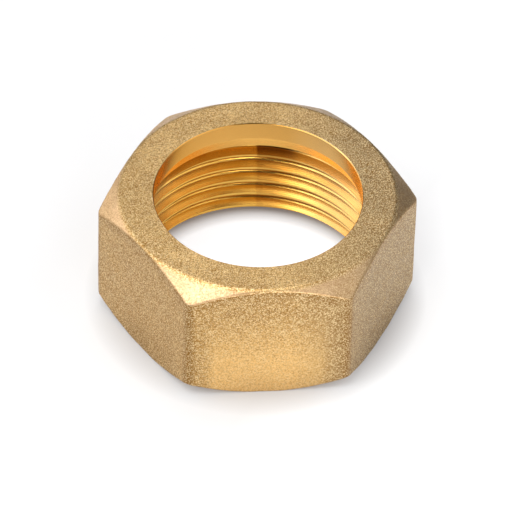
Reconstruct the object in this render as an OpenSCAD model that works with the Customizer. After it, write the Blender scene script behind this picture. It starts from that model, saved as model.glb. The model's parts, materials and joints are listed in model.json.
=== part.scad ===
// Union nut: a hexagonal brass nut with an inward collar at one end and an internal pipe thread.
// The origin is the centre of the face at the threaded end. +Z runs along the bore to the collar.

/* [Hexagon] */
// Width across the flats
across_flats = 37; // [36.5:0.5:41]
// Height along the bore
nut_height = 18.4; // [17.4:0.2:22]
// Radius that rounds the six upright corners
corner_r = 1.3; // [0.6:0.1:2.4]
// Diameter of the flat face at the collar end, where its chamfer starts
collar_face_d = 36.4; // [35:0.1:36.8]
// Slope of the chamfer at the collar end, in degrees below level
collar_chamfer_angle = 36; // [25:1:45]
// Diameter at which the chamfer of the threaded end meets its face
thread_face_d = 37.2; // [36:0.1:38]
// Slope of the chamfer at the threaded end, in degrees above level
thread_chamfer_angle = 35; // [25:1:45]

/* [Collar] */
// Diameter of the plain hole through the collar
collar_hole_d = 27.6; // [26:0.1:28]
// Length of the plain hole's straight wall, measured from the collar face
collar_wall = 2.8; // [1.5:0.1:3.4]
// Full thickness of the collar, down to the ledge that pulls on the pipe tail
collar_thickness = 4.8; // [4.2:0.1:5]
// Diameter to which the hole flares where it reaches that ledge
lip_d = 29.4; // [28.6:0.1:29.8]
// Small bevel around the hole's outer edge
edge_break = 0.15; // [0.1:0.05:0.4]

/* [Thread] */
// Pitch of the 55 degree parallel pipe thread, 11 turns to the inch
thread_pitch = 2.309; // [2.309]
// Diameter at the thread's crests, which face the axis
crest_d = 30.8; // [30.3:0.1:30.9]
// Diameter at the bottom of the thread's grooves
root_d = 33.249; // [33.249:0.001:33.4]
// Diameter of the turned groove in which the thread runs out below the collar
relief_d = 33.5; // [33.5:0.1:34]
// Height above the threaded face at which that groove starts to open from the crests
relief_start = 11.4; // [11:0.1:11.8]
// Diameter of the lead-in cone at the threaded face
lead_in_d = 33.8; // [33.6:0.1:34.4]
// Height of a groove's centre line over the threaded face on the +X side
thread_phase = 0.19; // [0:0.01:2.3]

/* [Hidden] */
$fn = 96;

BEYOND = 1; // how far each cutter runs past the faces it opens
FLANK = 27.5; // half of the 55 degree thread angle

flat_r = across_flats / 2;
corner_centre = (flat_r - corner_r) / cos(30);
outer_r = corner_centre + corner_r + BEYOND;

collar_r = collar_hole_d / 2;
crest_r = crest_d / 2;
root_r = root_d / 2;
relief_r = relief_d / 2;
lead_in_r = lead_in_d / 2;
ledge_z = nut_height - collar_thickness;

// A groove is cut as one long ring of four-sided sections, which starts below the threaded face
// and ends inside the run-out groove, just clear of the ledge.
SECTIONS_PER_TURN = 48;
INSIDE_CREST = 0.3; // how far a section reaches from the crests towards the axis
root_half = thread_pitch / 12;
mouth_half = root_half + (root_r - crest_r + INSIDE_CREST) * tan(FLANK);
groove_bottom_z = thread_phase - thread_pitch;
groove_top_z = ledge_z - mouth_half - 0.02;
groove_turns = (groove_top_z - groove_bottom_z) / thread_pitch;
last_section = floor(groove_turns * SECTIONS_PER_TURN);

groove_section = [
    [crest_r - INSIDE_CREST, -mouth_half],
    [root_r, -root_half],
    [root_r, root_half],
    [crest_r - INSIDE_CREST, mouth_half],
];

function section_at(i) =
    let (angle = 360 * i / SECTIONS_PER_TURN)
    let (z = groove_bottom_z + thread_pitch * i / SECTIONS_PER_TURN)
    [for (p = groove_section) [p.x * cos(angle), p.x * sin(angle), z + p.y]];

// Outline of the hexagon, with flats that face -Y and +Y and round corners.
module rounded_hexagon() {
    polygon([
        for (corner = [0:5], side = [-30, 30])
            let (a = 60 * corner)
            corner_centre * [cos(a), sin(a)] + corner_r * [cos(a + side), sin(a + side)]
    ]);
    for (corner = [0:5])
        rotate(60 * corner) translate([corner_centre, 0]) circle(corner_r);
}

// The hexagon trimmed by the chamfer cones of its two ends.
module chamfered_hexagon() {
    collar_drop = (outer_r - collar_face_d / 2) * tan(collar_chamfer_angle);
    thread_rise = (outer_r - thread_face_d / 2) * tan(thread_chamfer_angle);
    intersection() {
        linear_extrude(nut_height) rounded_hexagon();
        rotate_extrude() polygon([
            [0, 0],
            [thread_face_d / 2, 0],
            [outer_r, thread_rise],
            [outer_r, nut_height - collar_drop],
            [collar_face_d / 2, nut_height],
            [0, nut_height],
        ]);
    }
}

// Everything that is turned out of the middle before the thread is cut: the lead-in, the wall
// that carries the thread, the run-out groove, the ledge and the hole through the collar.
module turned_bore() {
    rotate_extrude() polygon([
        [0, -BEYOND],
        [lead_in_r + BEYOND, -BEYOND],
        [crest_r, lead_in_r - crest_r],
        [crest_r, relief_start],
        [relief_r, relief_start + (relief_r - crest_r) * tan(FLANK)],
        [relief_r, ledge_z],
        [lip_d / 2, ledge_z],
        [collar_r, nut_height - collar_wall],
        [collar_r, nut_height - edge_break],
        [collar_r + edge_break + BEYOND, nut_height + BEYOND],
        [0, nut_height + BEYOND],
    ]);
}

// The helical groove of the right-hand thread.
module thread_groove() {
    polyhedron(
        points = [for (i = [0:last_section]) each section_at(i)],
        faces = concat(
            [[0, 2, 1], [0, 3, 2]],
            [
                for (i = [0:last_section - 1], k = [0:3])
                    let (a = 4 * i + k, b = 4 * i + (k + 1) % 4)
                    each [[a, b + 4, a + 4], [a, b, b + 4]]
            ],
            let (e = 4 * last_section) [[e, e + 1, e + 2], [e, e + 2, e + 3]]
        )
    );
}

module union_nut() {
    color("goldenrod") difference() {
        chamfered_hexagon();
        turned_bore();
        thread_groove();
    }
}

union_nut();
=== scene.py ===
# %% [markdown]
# # A forged brass union nut
# A union nut pulls two pipe ends together. It is forged in one piece from brass, blasted clean with
# shot, and then turned and threaded inside on a lathe. So it has two finishes that meet at sharp
# rims: a grainy, soft-edged outside and a bright, smooth inside. This lesson makes it the same way:
# first the forging, then a cutter that stands for all the lathe work, and then the two finishes.
#
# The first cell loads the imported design. It gives the size that everything else must keep to.

# %% Load the design that this model must fit
import json
import math
import bpy
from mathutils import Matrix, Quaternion, Vector


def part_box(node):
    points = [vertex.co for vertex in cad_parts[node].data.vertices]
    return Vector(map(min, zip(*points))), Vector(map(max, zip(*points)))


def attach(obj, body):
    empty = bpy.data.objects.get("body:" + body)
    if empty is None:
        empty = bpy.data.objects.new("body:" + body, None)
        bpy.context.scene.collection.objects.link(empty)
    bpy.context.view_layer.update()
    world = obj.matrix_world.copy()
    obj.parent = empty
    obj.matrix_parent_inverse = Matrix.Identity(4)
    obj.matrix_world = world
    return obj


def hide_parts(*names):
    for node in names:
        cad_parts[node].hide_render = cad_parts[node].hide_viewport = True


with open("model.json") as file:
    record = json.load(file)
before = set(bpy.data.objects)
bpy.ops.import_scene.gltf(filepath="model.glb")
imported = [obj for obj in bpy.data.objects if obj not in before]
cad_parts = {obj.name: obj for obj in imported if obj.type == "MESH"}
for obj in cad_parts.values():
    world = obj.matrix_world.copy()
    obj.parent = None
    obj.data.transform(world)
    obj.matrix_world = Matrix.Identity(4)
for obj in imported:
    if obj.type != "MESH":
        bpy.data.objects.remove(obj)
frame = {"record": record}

cad_low, cad_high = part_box("union_nut")
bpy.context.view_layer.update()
MM = 0.001
across_flats = cad_high.y - cad_low.y
nut_height = cad_high.z - cad_low.z
mounts = {m["name"]: m for m in frame["record"]["mounts"]}
crest_r = mounts["thread"]["dims"]["r_mm"] * MM
collar_r = mounts["collar_hole"]["dims"]["r_mm"] * MM
print(f"across flats {across_flats / MM:.1f} mm, height {nut_height / MM:.1f} mm")
print(f"thread crests at {crest_r / MM:.2f} mm, collar hole at {collar_r / MM:.2f} mm from the axis")

# %% [markdown]
# ## Where we look from
# Small parts are shot from far away with a long lens, which keeps upright edges almost parallel.
# The camera here stands about 20 nut widths off, looks down at 44 degrees and sees a corner a little
# to the left of the middle. It aims slightly below the nut's centre, so that the nut sits high in
# the view, and it is tipped by a degree and a half, as a hand-levelled camera often is.

# %% Camera
def direction(azimuth, elevation):
    """The way from the nut towards an azimuth (0 front, 90 right, 180 back) and an elevation."""
    a, e = math.radians(azimuth), math.radians(elevation)
    return Vector((math.sin(a) * math.cos(e), -math.cos(a) * math.cos(e), math.sin(e)))


camera_azimuth, camera_elevation, camera_roll = -5.82, 43.62, 1.52
camera_distance = 19.64 * across_flats
sensor_width = 36.0
view_width_in_nuts = 1.8371
aim_left_in_nuts = 0.003
aim_down_in_nuts = 0.0415
nut_centre = Vector((0, 0, nut_height / 2))

back = direction(camera_azimuth, camera_elevation)
turn = back.to_track_quat("Z", "Y") @ Quaternion((0, 0, 1), math.radians(camera_roll))
sideways, upwards = turn @ Vector((1, 0, 0)), turn @ Vector((0, 1, 0))
aim = nut_centre - (sideways * aim_left_in_nuts + upwards * aim_down_in_nuts) * across_flats
bpy.ops.object.camera_add(location=aim + back * camera_distance)
camera = bpy.context.object
camera.name = "camera"
camera.rotation_mode = "QUATERNION"
camera.rotation_quaternion = turn
camera.data.sensor_width = sensor_width
camera.data.lens = sensor_width * camera_distance / (view_width_in_nuts * across_flats)
bpy.context.scene.camera = camera
print(f"lens {camera.data.lens:.0f} mm at {camera_distance:.2f} m")

# %% [markdown]
# ## A few tools for the bench
# These helpers do what a hand does between two modelling steps: put everything down and pick one
# thing up, add a piece, apply a modifier, cut with a tool. Every operator acts on what is selected,
# so each helper first selects just what it works on.

# %% Bench helpers
def only(obj):
    """Leaves obj as the one selected and active object."""
    bpy.ops.object.select_all(action="DESELECT")
    obj.select_set(True)
    bpy.context.view_layer.objects.active = obj


def add(primitive, name, **settings):
    """Adds a primitive with its place and size in its mesh, and returns it."""
    bpy.ops.object.select_all(action="DESELECT")
    primitive(**settings)
    obj = bpy.context.object
    obj.name = name
    bpy.ops.object.transform_apply(location=True, rotation=True, scale=True)
    return obj


def apply_modifier(obj, kind, **settings):
    """Adds one modifier, sets it and applies it."""
    only(obj)
    modifier = obj.modifiers.new(kind.lower(), kind)
    for name, value in settings.items():
        setattr(modifier, name, value)
    bpy.ops.object.modifier_apply(modifier=modifier.name)


def combine(obj, tool, operation):
    """Joins tool to obj, keeps their overlap, or cuts tool out of obj. The tool is used up."""
    apply_modifier(obj, "BOOLEAN", object=tool, operation=operation, solver="MANIFOLD")
    bpy.data.objects.remove(tool, do_unlink=True)


def open_mesh(obj, select_by="VERT"):
    """Starts edit mode on obj with everything selected."""
    only(obj)
    bpy.ops.object.mode_set(mode="EDIT")
    bpy.ops.mesh.select_mode(type=select_by)
    bpy.ops.mesh.select_all(action="SELECT")


def close_mesh():
    """Ends edit mode."""
    bpy.ops.object.mode_set(mode="OBJECT")


def face_outwards(obj):
    """Turns every face of a closed mesh outwards."""
    open_mesh(obj)
    bpy.ops.mesh.normals_make_consistent(inside=False)
    close_mesh()


def faces_of(obj):
    """Counts the faces, to print after each step."""
    return len(obj.data.polygons)


print("bench helpers ready")

# %% [markdown]
# ## The hexagon
# The forging starts as a hexagonal prism. A six-sided cylinder is the same thing, turned by 30
# degrees so that flats face the front and the back. Forging dies can't hold a sharp corner, so the
# six upright edges are rounded with a bevel in edit mode.

# %% Hexagonal prism with round corners
corner_radius = 1.3 * MM
flat_to_corner = math.radians(30)
nut = add(bpy.ops.mesh.primitive_cylinder_add, "union_nut_finished", vertices=6,
          radius=across_flats / 2 / math.cos(flat_to_corner), depth=nut_height,
          location=nut_centre, rotation=(0, 0, flat_to_corner))
open_mesh(nut, select_by="EDGE")
bpy.ops.mesh.select_all(action="DESELECT")
close_mesh()
for edge in nut.data.edges:
    low, high = (nut.data.vertices[i].co for i in edge.vertices)
    edge.select = abs(low.z - high.z) > nut_height / 2
bpy.ops.object.mode_set(mode="EDIT")
bpy.ops.mesh.bevel(offset=corner_radius * math.tan(flat_to_corner), segments=8, affect="EDGES")
close_mesh()
print(f"prism with {faces_of(nut)} faces, corners rounded to {corner_radius / MM} mm")

# %% [markdown]
# ## Coned ends
# Both ends of the hexagon are turned to shallow cones, which take off its points. Each cone is a
# truncated cone primitive as tall as the nut. Keeping only what lies in both solids leaves the
# curved lines, highest in the middle of each flat, that every chamfered nut shows.

# %% Cones at the collar end and at the threaded end
CONE_SIDES = 256
collar_face_r = 18.2 * MM
thread_face_r = 18.6 * MM
collar_slope = math.radians(36)
thread_slope = math.radians(35)
collar_spread = nut_height / math.tan(collar_slope)
thread_spread = nut_height / math.tan(thread_slope)
collar_cone = add(bpy.ops.mesh.primitive_cone_add, "collar_cone", vertices=CONE_SIDES,
                  radius1=collar_face_r + collar_spread, radius2=collar_face_r,
                  depth=nut_height, location=nut_centre)
thread_cone = add(bpy.ops.mesh.primitive_cone_add, "thread_cone", vertices=CONE_SIDES,
                  radius1=thread_face_r, radius2=thread_face_r + thread_spread,
                  depth=nut_height, location=nut_centre)
combine(nut, collar_cone, "INTERSECT")
combine(nut, thread_cone, "INTERSECT")
print(f"coned prism with {faces_of(nut)} faces")

# %% [markdown]
# ## Soft forged edges
# Forging and shot blasting leave no crisp edge. A voxel remesh turns the solid into an even net of
# small squares, and a smoothing modifier then melts every edge by about the same amount. The flat
# faces hardly move, because a flat net has nothing to smooth. A faint displacement adds the slow
# waves of a forged skin. It only ever pushes inwards, so the nut never outgrows its design.

# %% Remesh, smooth and wave the skin
skin_square = 0.26 * MM
wave_width = 3.5 * MM
wave_depth = 0.10 * MM
nut.data.remesh_voxel_size = skin_square
only(nut)
bpy.ops.object.voxel_remesh()
apply_modifier(nut, "SMOOTH", factor=0.5, iterations=4)
skin_waves = bpy.data.textures.new("skin_waves", "CLOUDS")
skin_waves.noise_scale = wave_width
skin_waves.noise_depth = 1
apply_modifier(nut, "DISPLACE", texture=skin_waves, texture_coords="LOCAL",
               strength=wave_depth, mid_level=1.0)
print(f"forging with {faces_of(nut)} faces")

# %% [markdown]
# ## The thread cutter
# A thread is one groove wound round and round. Its outline is drawn point by point, as by hand:
# a straight flank, a round bottom and the other flank, 55 degrees between them. The Screw modifier
# then winds it upwards by one pitch a turn. Its neighbouring turns meet and are merged. The rod is
# made too long, and the next step cuts its ends off square, which closes it into a solid.

# %% Draw a profile and wind it into a threaded rod
def draw_line(name, points):
    """Draws a chain of edges through (distance from the axis, height) points, beside the X axis."""
    line = add(bpy.ops.mesh.primitive_plane_add, name, size=MM)
    open_mesh(line)
    bpy.ops.mesh.merge(type="CENTER")
    bpy.ops.transform.translate(value=(points[0][0], 0, points[0][1]))
    for (r0, z0), (r1, z1) in zip(points, points[1:]):
        step = {"value": (r1 - r0, 0, z1 - z0)}
        bpy.ops.mesh.extrude_vertices_move(TRANSFORM_OT_translate=step)
    close_mesh()
    return line


def cut_level(obj, height, keep_below):
    """Cuts obj along a level plane, throws one side away and closes the cut."""
    open_mesh(obj)
    bpy.ops.mesh.bisect(plane_co=(0, 0, height), plane_no=(0, 0, 1), threshold=MM / 10000,
                        use_fill=True, clear_outer=keep_below, clear_inner=not keep_below)
    close_mesh()


pitch = 2.309 * MM
root_r = 16.6245 * MM
flank = math.radians(55 / 2)
crest_land = 0.22 * MM
groove_height_at_plus_x = 0.19 * MM
STEPS_PER_TURN = 180
ARC_POINTS = 15
ROD_TURNS = 11
TURNS_BELOW = 3

sharp_r = crest_r + (pitch - crest_land) / 2 / math.tan(flank)
root_radius = (sharp_r - root_r) / (1 / math.sin(flank) - 1)
root_centre_r = root_r - root_radius
arc = []
for i in range(ARC_POINTS):
    a = (math.pi / 2 - flank) * (2 * i / (ARC_POINTS - 1) - 1)
    arc.append((root_centre_r + root_radius * math.cos(a), root_radius * math.sin(a)))
inner_r = arc[0][0] - (pitch / 2 + arc[0][1]) / math.tan(flank)
profile = [(inner_r, -pitch / 2)] + arc + [(inner_r, pitch / 2)]
start_height = groove_height_at_plus_x - TURNS_BELOW * pitch
profile = [(r, z + start_height) for r, z in profile]
rod = draw_line("threaded_rod", profile)
apply_modifier(rod, "SCREW", axis="Z", angle=math.tau, screw_offset=pitch, iterations=ROD_TURNS,
               steps=STEPS_PER_TURN, render_steps=STEPS_PER_TURN)
open_mesh(rod)
bpy.ops.mesh.remove_doubles(threshold=MM / 1000)
close_mesh()
print(f"rod with {faces_of(rod)} faces, groove bottom at {root_r / MM:.2f} mm")

# %% [markdown]
# ## The turned bore
# Before a thread is cut, the lathe bores out the middle. From below: a lead-in cone, the wall that
# will carry the thread, a wider run-out groove where the threading tool can stop, the ledge under
# the collar, a flare and the plain hole. The cutter for all this is built like a lathe part: from a
# disc, ring after ring is extruded upwards and scaled to the next diameter.

# %% Turn a cutter from rings and join the threaded rod to it
ROUND = 320


def turn_solid(name, rings):
    """Makes a closed round solid through (distance from the axis, height) rings, lowest first."""
    radius, height = rings[0]
    solid = add(bpy.ops.mesh.primitive_circle_add, name, vertices=ROUND, radius=radius,
                fill_type="NGON", location=(0, 0, height))
    open_mesh(solid)
    for next_radius, next_height in rings[1:]:
        rise = {"value": (0, 0, next_height - height)}
        bpy.ops.mesh.extrude_region_move(TRANSFORM_OT_translate=rise)
        grow = next_radius / radius
        bpy.ops.transform.resize(value=(grow, grow, 1), center_override=(0, 0, next_height))
        radius, height = next_radius, next_height
    close_mesh()
    face_outwards(solid)
    return solid


beyond = 1 * MM
lead_in_r = 17.15 * MM
relief_r = 16.75 * MM
relief_start = 11.4 * MM
collar_thickness = 4.8 * MM
ledge_height = nut_height - collar_thickness
lip_r = 14.7 * MM
collar_wall = 2.7 * MM
edge_break = 0.15 * MM
rod_top_below_ledge = 0.7 * MM
bore = turn_solid("bore_cutter", [
    (lead_in_r + beyond, -beyond),
    (crest_r, lead_in_r - crest_r),
    (crest_r, relief_start),
    (relief_r, relief_start + (relief_r - crest_r) * math.tan(flank)),
    (relief_r, ledge_height),
    (lip_r, ledge_height),
    (collar_r, nut_height - collar_wall),
    (collar_r, nut_height - edge_break),
    (collar_r + edge_break + beyond, nut_height + beyond),
])
cut_level(rod, ledge_height - rod_top_below_ledge, keep_below=True)
cut_level(rod, -beyond, keep_below=False)
face_outwards(rod)
combine(bore, rod, "UNION")
print(f"bore cutter with {faces_of(bore)} faces")

# %% [markdown]
# ## Cut the bore
# One Boolean difference does all the lathe work. The two finishes are told apart by where a face
# lies: whatever is nearer the axis than the bore's widest place, and not on an end face, is turned.

# %% Cut, and mark the turned faces
combine(nut, bore, "DIFFERENCE")
nut.data.materials.clear()
nut.data.materials.append(bpy.data.materials.new("blasted_brass"))
nut.data.materials.append(bpy.data.materials.new("turned_brass"))
BLASTED, TURNED = 0, 1
END_DEPTH = 0.2 * MM
for face in nut.data.polygons:
    middle = face.center
    near_axis = math.hypot(middle.x, middle.y) < lead_in_r
    near_an_end = min(middle.z, nut_height - middle.z) < END_DEPTH
    on_an_end = near_an_end and abs(face.normal.z) > 0.95
    face.material_index = TURNED if near_axis and not on_an_end else BLASTED
turned_faces = sum(face.material_index == TURNED for face in nut.data.polygons)
print(f"nut with {faces_of(nut)} faces, {turned_faces} of them turned")

# %% [markdown]
# ## Smooth skin, crisp machining
# Smooth shading is kept crisp where a tool left an edge. On the forged skin every edge is soft, so
# the crisp marks that the angle test finds there are wiped off again. Only the border between the
# two finishes is marked afresh, because the lathe leaves a sharp rim there.

# %% Shade by angle, then soften the skin
crisp_angle = math.radians(14)
only(nut)
bpy.ops.object.shade_smooth_by_angle(angle=crisp_angle)
open_mesh(nut, select_by="FACE")
bpy.ops.mesh.select_all(action="DESELECT")
nut.active_material_index = BLASTED
bpy.ops.object.material_slot_select()
bpy.ops.mesh.mark_sharp(clear=True)
bpy.ops.mesh.region_to_loop()
bpy.ops.mesh.mark_sharp()
close_mesh()
crisp = sum(edge.use_edge_sharp for edge in nut.data.edges)
print(f"{crisp} crisp edges")

# %% [markdown]
# ## A way to write materials
# A material is a small graph of nodes. Written as sums, it reads like a recipe: a Wire wraps one
# socket, and adding or multiplying two wires adds the Math node that does it. A mask is a wire that
# is 1 where something is and 0 where it isn't, and a ramp turns a distance into a mask.

# %% Wires and a recipe class
class Wire:
    """A socket of one node, which can be used in sums."""

    def __init__(self, recipe, socket):
        self.recipe = recipe
        self.socket = socket

    def math(self, operation, first, second=0.0):
        """Adds a Math node and returns its result."""
        return self.recipe.node("Math", {"operation": operation}, {0: first, 1: second})

    def __add__(self, other):
        return self.math("ADD", self, other)

    def __radd__(self, other):
        return self.math("ADD", other, self)

    def __sub__(self, other):
        return self.math("SUBTRACT", self, other)

    def __rsub__(self, other):
        return self.math("SUBTRACT", other, self)

    def __mul__(self, other):
        return self.math("MULTIPLY", self, other)

    def __neg__(self):
        return self.math("SUBTRACT", 0.0, self)

    def __abs__(self):
        return self.math("ABSOLUTE", self)

    def or_more(self, other):
        """The larger of two wires."""
        return self.math("MAXIMUM", self, other)


class Recipe:
    """The node tree of one material, with its Principled shader."""

    def __init__(self, material):
        material.use_nodes = True
        self.tree = material.node_tree
        self.shader = self.tree.nodes["Principled BSDF"]

    def put(self, socket, value):
        """Links a wire to a socket, or sets the socket to a plain value."""
        if isinstance(value, Wire):
            self.tree.links.new(value.socket, socket)
        else:
            socket.default_value = value

    def node(self, kind, settings=None, inputs=None, output=0):
        """Adds a node, sets it up, feeds its inputs and returns one of its outputs."""
        node = self.tree.nodes.new("ShaderNode" + kind)
        for name, value in (settings or {}).items():
            setattr(node, name, value)
        for name, value in (inputs or {}).items():
            self.put(node.inputs[name], value)
        return Wire(self, node.outputs[output])

    def position(self):
        """The place of a point of the piece, then its x, y and z, all in metres."""
        object_coordinates = 3
        place = self.node("TexCoord", output=object_coordinates)
        return [place] + [self.node("SeparateXYZ", {}, {0: place}, output=axis) for axis in range(3)]

    def distance(self, x, y):
        """How far a point is from the axis."""
        return x.math("SQRT", x * x + y * y)

    def noise(self, place, scale, detail, roughness=0.5):
        """Cloudy noise around 0.5, with about scale lumps to the metre."""
        return self.node("TexNoise", {}, {"Vector": place, "Scale": scale, "Detail": detail,
                                          "Roughness": roughness})

    def ramp(self, value, low, high):
        """Goes from 0 at low to 1 at high."""
        return self.node("MapRange", {}, {0: value, 1: low, 2: high, 3: 0.0, 4: 1.0})

    def mix(self, factor, first, second):
        """Goes from the first colour at 0 to the second at 1."""
        settings = {"data_type": "RGBA"}
        return self.node("Mix", settings, {0: factor, 6: first, 7: second}, output=2)

    def coat(self, colour, layers):
        """Lays thin layers over a colour, each given as (how much, its own colour)."""
        for amount, layer in layers:
            colour = self.mix(amount, colour, layer)
        return colour

    def bump(self, strength, depth, height):
        """Makes the surface look raised where height is near 1, by at most depth."""
        return self.node("Bump", {}, {"Strength": strength, "Distance": depth, "Height": height})

    def finish(self, **inputs):
        """Feeds the shader's inputs, each named with _ for a space."""
        for name, value in inputs.items():
            self.put(self.shader.inputs[name.replace("_", " ")], value)


def brass(red, green, blue):
    """An opaque colour, from how much red, green and blue light the metal sends back."""
    return (red, green, blue, 1.0)


print("recipe tools ready")

# %% [markdown]
# ## Blasted brass: where things are
# Steel shot leaves thousands of tiny dents, each about as wide as a grain of fine salt. Two fine noises
# stand for them. Two slower ones make patches and streaks, so that no two places look alike. The
# other masks say where a point lies: on the sides or above them, on the coned corners, near an upright
# corner, or in the crease below the cone. They are worked out from the nut's own sizes, so they sit
# exactly on its edges.

# %% Noises and places on the forged skin
blasted = Recipe(nut.data.materials[BLASTED])
place, x, y, z = blasted.position()
GRAIN, SPECKLE, PATCH, STREAK = 6200, 4000, 170, 600
grain = blasted.noise(place, GRAIN, 2.0, roughness=0.6)
speckle = blasted.noise(place, SPECKLE, 3.0, roughness=0.7)
patch = blasted.noise(place, PATCH, 3.0)
streak = blasted.noise(place, STREAK, 3.0)
uneven = streak * 0.8 * MM

CORNERS = 6.0
cornerness = x.math("COSINE", x.math("ARCTAN2", y, x) * CORNERS)
from_axis = blasted.distance(x, y)
past_the_face = (from_axis - collar_face_r).or_more(0.0)
below_cone = nut_height - past_the_face * math.tan(collar_slope) - z
side = blasted.ramp(below_cone, 0.05 * MM, 0.30 * MM)
cone = blasted.ramp(from_axis, collar_face_r + 0.1 * MM, collar_face_r + 0.5 * MM) * (1.0 - side)
print(f"grains about {1 / GRAIN / MM:.2f} mm wide, patches about {1 / PATCH / MM:.0f} mm")

# %% [markdown]
# ## Blasted brass: painted shade, painted light and tones
# The sides are painted darker than the top, and the strip below the cone and the crease under it
# darker still: all painted shade. The upright corners are darker too. The front flat is painted
# lighter low down, a painted light, and the right of the nut is painted darker, a painted shade. The
# left side is warmer, and the two ends of the top ring are darker. The rims of the cone get a painted
# highlight: Pointiness, a number that Blender gives for how much a surface bulges, finds them.

# %% Masks of painted shade and light, darker corners and tones
# Painted shade: the strip below the cone and the crease under it are darker. The upright corners are
# darker too.
painted_rim_shade = side * blasted.ramp(below_cone + uneven, 2.4 * MM, 0.6 * MM)
darker_upright_corners = side * blasted.ramp(cornerness + streak * 0.03, 0.975, 1.01)
crease = side * blasted.ramp(below_cone, 0.75 * MM, 0.35 * MM)
painted_shade_and_darker_corners = (painted_rim_shade * 0.75).or_more(darker_upright_corners).or_more(crease)
# Painted light low on the front flat.
on_front = blasted.ramp(-y, 16.4 * MM, 18.2 * MM)
off_corners = blasted.ramp(cornerness, 0.99, 0.55)
low_down = blasted.ramp(z + uneven * 3.0, 16 * MM, 7 * MM)
painted_front_light = on_front * off_corners * low_down
# Painted shade on the right of the nut.
painted_right_shade = blasted.ramp(x, 3 * MM, 14 * MM)
warm = blasted.ramp(-x, 4 * MM, 12 * MM) * side
ring_ends = blasted.ramp(abs(x), 11 * MM, 16 * MM) * (1.0 - side) * (1.0 - cone)
POINTINESS = 7
# Painted highlight along the cone's rims.
rim = blasted.ramp(blasted.node("NewGeometry", output=POINTINESS), 0.53, 0.62)
dark_specks = blasted.ramp(speckle, 0.54, 0.40)
light_specks = blasted.ramp(grain, 0.48, 0.62)
# In this print, rubbing is the painted light on the front flat and dulling the painted shade on the
# right.
print("stain, rubbing, dulling and specks are placed")

# %% [markdown]
# ## Blasted brass: colour and dents
# Colour goes on as on a painted model, in thin layers over a patchy base. Some layers are painted shade
# and light, and the cones get a pale, whitish painted highlight. The specks come last: dark ones lie in
# the dents and light ones on their rims, and both are weaker on the cones and where the front flat is
# painted lighter.
# The same noises drive the bump, so colour and dents agree.

# %% Layers of colour on the skin
patchiness = blasted.ramp(patch * 0.5 + streak * 0.5, 0.35, 0.65)
dark_speck_amount = dark_specks * (0.85 - painted_front_light * 0.50 - cone * 0.58)
light_speck_amount = light_specks * (0.65 - painted_front_light * 0.25 - cone * 0.38)
skin = blasted.mix(patchiness, brass(0.45, 0.265, 0.088), brass(0.66, 0.42, 0.165))
skin = blasted.coat(skin, [
    (ring_ends * 0.28, brass(0.28, 0.16, 0.05)),
    # Painted shade: the sides are darker than the top.
    (side * 0.42, brass(0.36, 0.185, 0.045)),
    (warm * 0.25, brass(0.44, 0.22, 0.03)),
    # Painted highlight: the cones get a pale, whitish layer.
    (cone * 0.34, brass(0.80, 0.56, 0.43)),
    # Painted light: the front flat is paler low down.
    (painted_front_light * 0.88, brass(0.83, 0.52, 0.19)),
    # Painted shade: the right of the nut is darker.
    (painted_right_shade * 0.74, brass(0.22, 0.15, 0.08)),
    # Painted shade under the cone and in the crease, and darker upright corners.
    (painted_shade_and_darker_corners * 0.78, brass(0.24, 0.105, 0.015)),
    (dark_speck_amount, brass(0.27, 0.135, 0.03)),
    (light_speck_amount, brass(0.97, 0.78, 0.45)),
    # Painted highlight on the cone's rims.
    (rim * 0.4, brass(0.97, 0.82, 0.54)),
])
dents = blasted.bump(0.7, 0.05 * MM, (grain * 0.6 + speckle * 0.4) * (1.0 - cone * 0.5))
blasted.finish(Base_Color=skin, Metallic=1.0, Roughness=0.40 + dark_specks * 0.2, Normal=dents,
               Coat_Weight=0.05, Coat_Roughness=0.30)
print(f"blasted brass has {len(blasted.tree.nodes)} nodes")

# %% [markdown]
# ## Turned brass
# Inside, the lathe tool leaves bright metal with faint rings, one for every turn of its feed. The
# rings are a sine wave along the axis, shaken a little by noise. The colour is deeper than outside,
# because light meets this wall more than once on its way out. The plain hole and its flare were cut
# by another tool, so they have tones of their own.

# %% Rings, smears and the collar's own tone
turned = Recipe(nut.data.materials[TURNED])
place, x, y, height = turned.position()
FEED = 0.11 * MM
wobble = turned.noise(place, 700.0, 3.0)
smear = turned.noise(place, 260.0, 4.0)
rings = height.math("SINE", height * (math.tau / FEED) + wobble * 6.0)
flare_top = nut_height - collar_wall
flare = turned.ramp(height, flare_top + 0.05 * MM, flare_top - 0.05 * MM)
collar = turned.ramp(height, ledge_height - 0.2 * MM, ledge_height + 0.1 * MM)
thread_metal = turned.mix(smear, brass(0.62, 0.345, 0.060), brass(0.73, 0.43, 0.095))
collar_metal = turned.mix(flare, brass(0.60, 0.325, 0.080), brass(0.82, 0.48, 0.14))
print(f"feed rings {FEED / MM:.2f} mm apart")

# %% [markdown]
# ## Painted shade and a painted dark reflection in the groove
# The run-out groove at the back is painted browner all along, a painted shade. One dark patch in it,
# right of the middle, and a thin dark band down the thread below are a painted dark reflection. The
# right of the bore is painted paler, a painted highlight, and its far left is darker and duller.

# %% Layers of colour in the bore
behind = turned.ramp(y, 8 * MM, 10 * MM)
groove = turned.ramp(height, 10.6 * MM, 11.6 * MM) * turned.ramp(height, 13.4 * MM, 13.0 * MM)
# Edges of a painted dark reflection: a patch in the groove and a band down the thread below.
painted_reflection_left_edge = turned.ramp(x + wobble * 0.3 * MM, 1.3 * MM, 1.6 * MM)
painted_reflection_patch_end = turned.ramp(x + wobble * 1.5 * MM, 8.0 * MM, 6.6 * MM)
painted_reflection_band_end = turned.ramp(x, 7.0 * MM, 3.5 * MM)
# Painted highlight on the right of the bore.
painted_right_highlight = turned.ramp(x, 5 * MM, 12 * MM)
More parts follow.
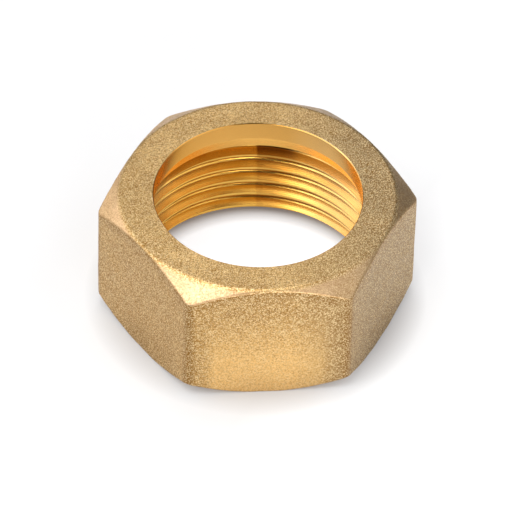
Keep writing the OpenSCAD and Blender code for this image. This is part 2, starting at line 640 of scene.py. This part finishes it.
# The far left of the bore is darker and duller.
far_left_darkening = turned.ramp(-x, 10 * MM, 13 * MM)
metal = turned.coat(thread_metal, [
    # Painted shade: the groove at the back is browner all along.
    (groove * behind * 0.35, brass(0.30, 0.15, 0.03)),
    # Painted dark reflection: a thin band down the thread below the groove.
    (painted_reflection_left_edge * painted_reflection_band_end * behind * 0.45, brass(0.45, 0.20, 0.03)),
    # Painted dark reflection: a dark patch in the groove.
    (painted_reflection_left_edge * painted_reflection_patch_end * groove * behind * 0.9, brass(0.16, 0.06, 0.01)),
    (collar, collar_metal),
    # Painted highlight: the right of the bore is paler.
    (painted_right_highlight * 0.5, brass(0.82, 0.575, 0.27)),
    (far_left_darkening * 0.60, brass(0.42, 0.31, 0.13)),
])
tool_marks = turned.bump(0.12, 0.01 * MM, rings * 0.5 + wobble * 0.4)
turned.finish(Base_Color=metal, Metallic=1.0, Roughness=0.19 + smear * 0.10, Normal=tool_marks,
              Specular_Tint=brass(1.0, 0.75, 0.45))
print(f"turned brass has {len(turned.tree.nodes)} nodes")

# %% [markdown]
# ## Hand the nut to the frame
# The finished nut takes the place of the plain design model and moves with its body.

# %% Replace the design node
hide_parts("union_nut")
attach(nut, "root")
print(f"{nut.name} takes the place of the design's nut")

# %% [markdown]
# ## A light table
# Small goods are often shot on a table that glows, so that the ground turns out pure white and the
# sides of the piece have something bright to mirror. This floor glows too, and light and shade are
# painted into its glow: it is painted brighter inside the nut, where the lamps hardly reach, and to the
# front right, where the nut's shadow falls, and painted dimmer round the nut's foot, a painted soft,
# short shadow.

# %% Floor that glows
def grey(level, blue):
    """A grey with its own blue, a little cooler when blue is higher."""
    return (level, level, blue, 1.0)


floor = add(bpy.ops.mesh.primitive_plane_add, "floor", size=6)
white = Recipe(bpy.data.materials.new("white_card"))
place, x, y, z = white.position()
from_axis = white.distance(x, y)
inside_the_nut = white.ramp(from_axis, 16.8 * MM, 14.2 * MM)
clear_of_the_foot = white.ramp(from_axis, 18.2 * MM, 23.0 * MM)
# Painted light: the glow is brighter to the front right, over the nut's shadow.
front_right = white.ramp(x - y * 0.7, 12 * MM, 22 * MM)
glow = white.mix(front_right, grey(0.40, 0.41), grey(0.54, 0.55))
# Painted shadow: the glow is dimmer round the nut's foot.
glow = white.mix(clear_of_the_foot, grey(0.14, 0.15), glow)
# Painted light: the glow is brighter inside the nut.
glow = white.mix(inside_the_nut, glow, (0.78, 0.80, 0.83, 1.0))
white.finish(Base_Color=grey(0.42, 0.42), Roughness=0.9, Emission_Color=glow, Emission_Strength=1.0)
floor.data.materials.append(bpy.data.materials["white_card"])
print("floor laid")

# %% [markdown]
# ## Soft lamps
# Metal shows what is around it, so it needs many large, soft lamps more than one strong one. The key
# lamp, high on the left, lights the cone at the front left corner. Low ones in front and on the left
# fill the flats, small ones overhead draw the light lines on the thread, and weak ones behind keep the
# far side from going black. The world adds a faint, even light.

# %% Lamps and world
LAMP_DISTANCE = 0.85
WORLD_STRENGTH = 0.10
LAMPS = [
    # name, azimuth, elevation, size in metres, watts
    ("key", 282, 50, 0.95, 5.9),
    ("key_core", 312, 62, 0.40, 1.5),
    ("left_low", 250, 28, 0.45, 0.8),
    ("left_back", 222, 24, 0.40, 0.9),
    ("front_low", 12, 12, 0.45, 3.9),
    ("right_fill", 62, 42, 0.75, 2.5),
    ("right_back", 105, 35, 0.50, 0.65),
    ("back", 178, 45, 0.50, 0.6),
    ("top_back", 180, 72, 0.28, 1.75),
    ("top_front", 350, 82, 0.36, 0.6),
]
for name, azimuth, elevation, size, watts in LAMPS:
    towards = direction(azimuth, elevation)
    bpy.ops.object.light_add(type="AREA", location=nut_centre + towards * LAMP_DISTANCE)
    lamp = bpy.context.object
    lamp.name = name
    lamp.rotation_mode = "QUATERNION"
    lamp.rotation_quaternion = towards.to_track_quat("Z", "Y")
    lamp.data.shape = "SQUARE"
    lamp.data.size = size
    lamp.data.energy = watts

world = bpy.data.worlds.new("white_tent")
world.use_nodes = True
sky = world.node_tree.nodes["Background"]
sky.inputs["Color"].default_value = grey(1.0, 1.0)
sky.inputs["Strength"].default_value = WORLD_STRENGTH
bpy.context.scene.world = world
bpy.context.scene.view_settings.view_transform = "Standard"
print(f"{len(LAMPS)} lamps, {sum(lamp[-1] for lamp in LAMPS):.1f} watts in all")
